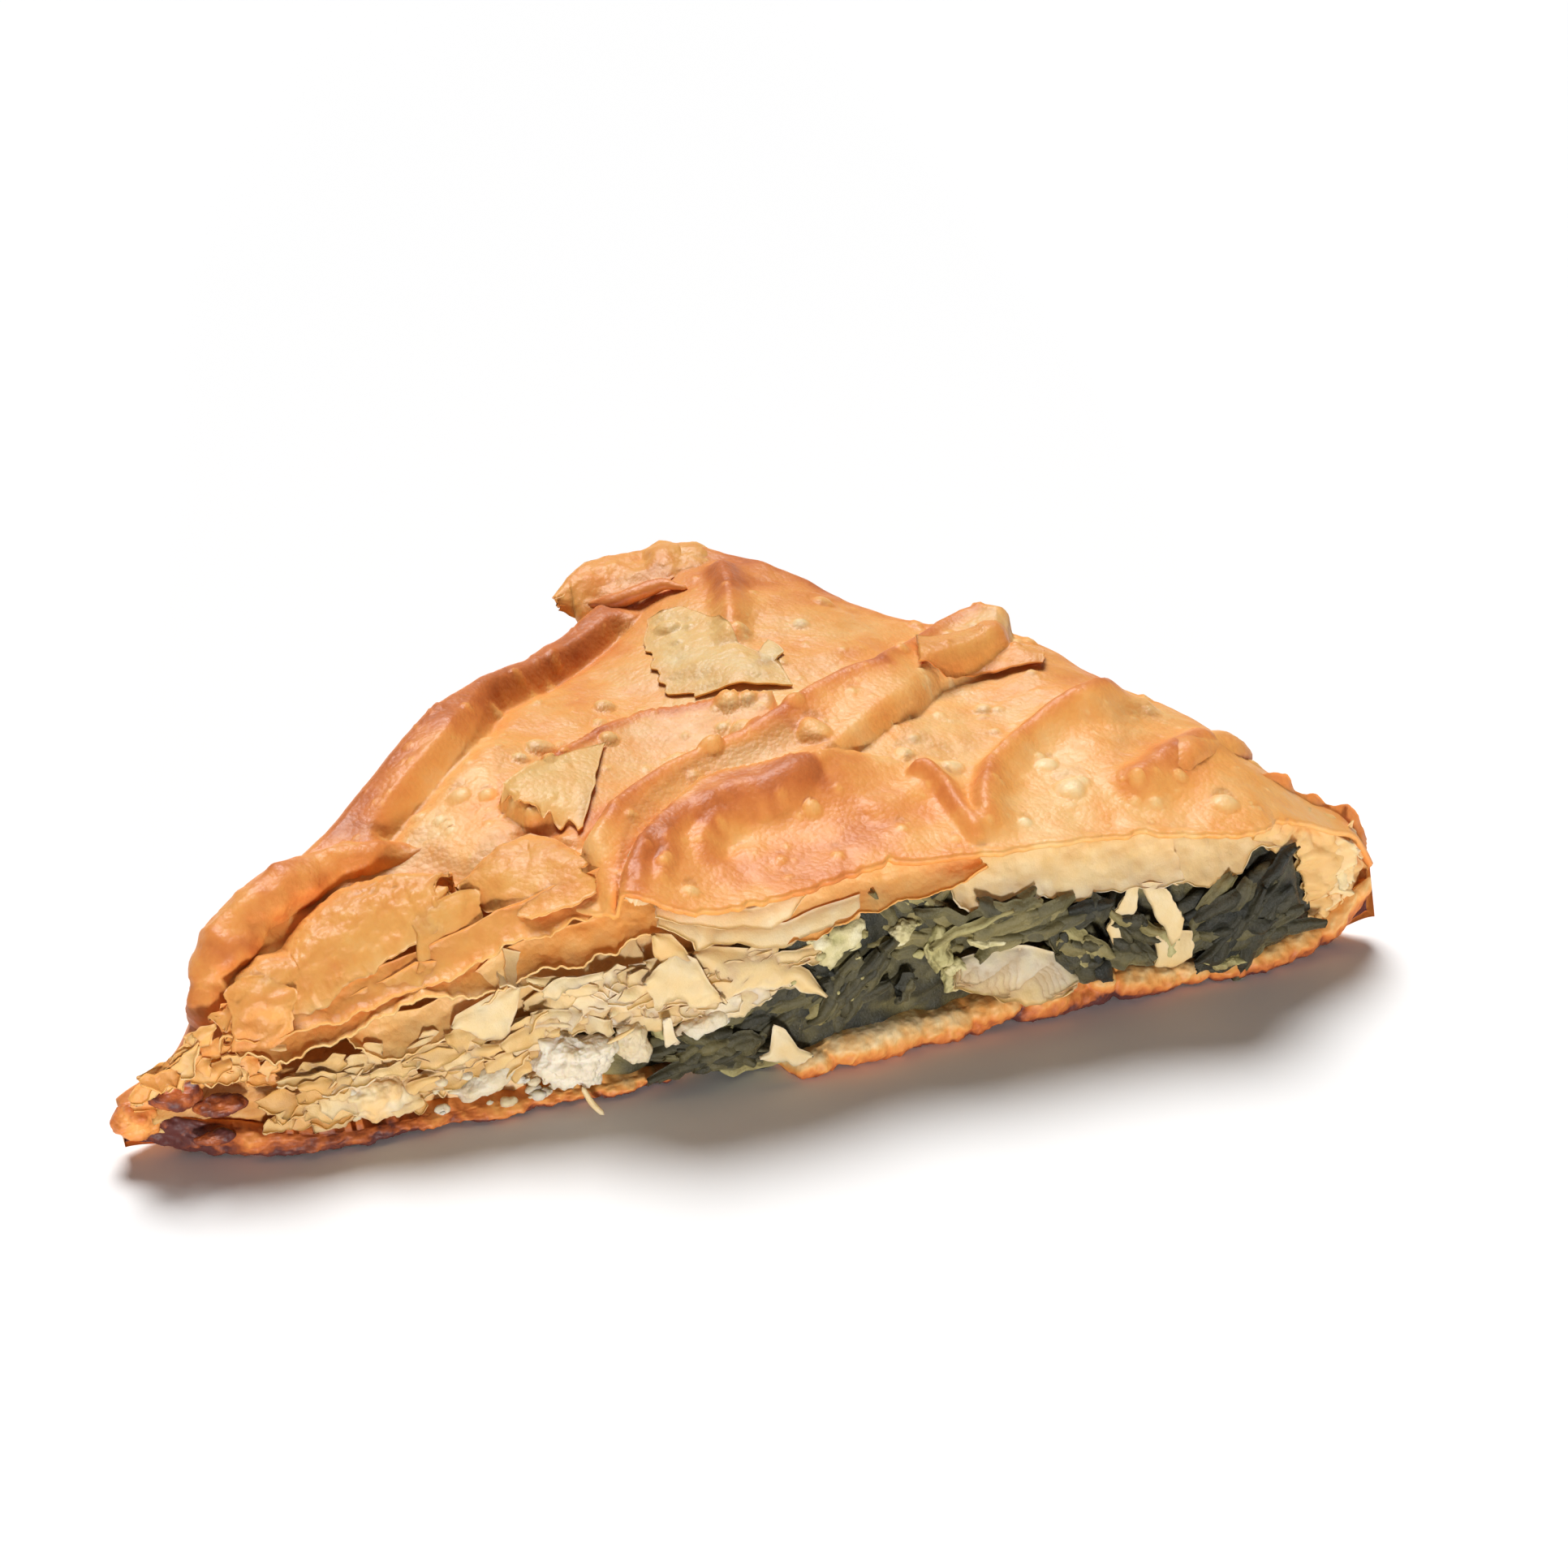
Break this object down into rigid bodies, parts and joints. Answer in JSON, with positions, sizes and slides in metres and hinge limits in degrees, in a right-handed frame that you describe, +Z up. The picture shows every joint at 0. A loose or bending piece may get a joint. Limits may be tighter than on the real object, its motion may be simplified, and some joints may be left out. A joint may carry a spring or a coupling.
{
  "type": "spanakopita",
  "caption": "Triangular piece of baked spinach and feta filo pie, cut open along its long side.",
  "frame": {"origin": "on the table plane, under the middle of the piece's bounding box", "axes": "+X along the cut from the thin end to the thick end, +Y from the cut towards the pie's corner, +Z up"},
  "size_m": [0.1786, 0.1004, 0.0382],
  "materials": {
    "golden_filo": "baked, slightly glossy",
    "cooked_spinach": "moist",
    "feta": "crumbly, matt"
  },
  "bodies": {
    "root": {"pastry": "golden_filo", "spinach_filling": "cooked_spinach", "feta_large": "feta", "feta_middle": "feta"}
  },
  "joints": []
}
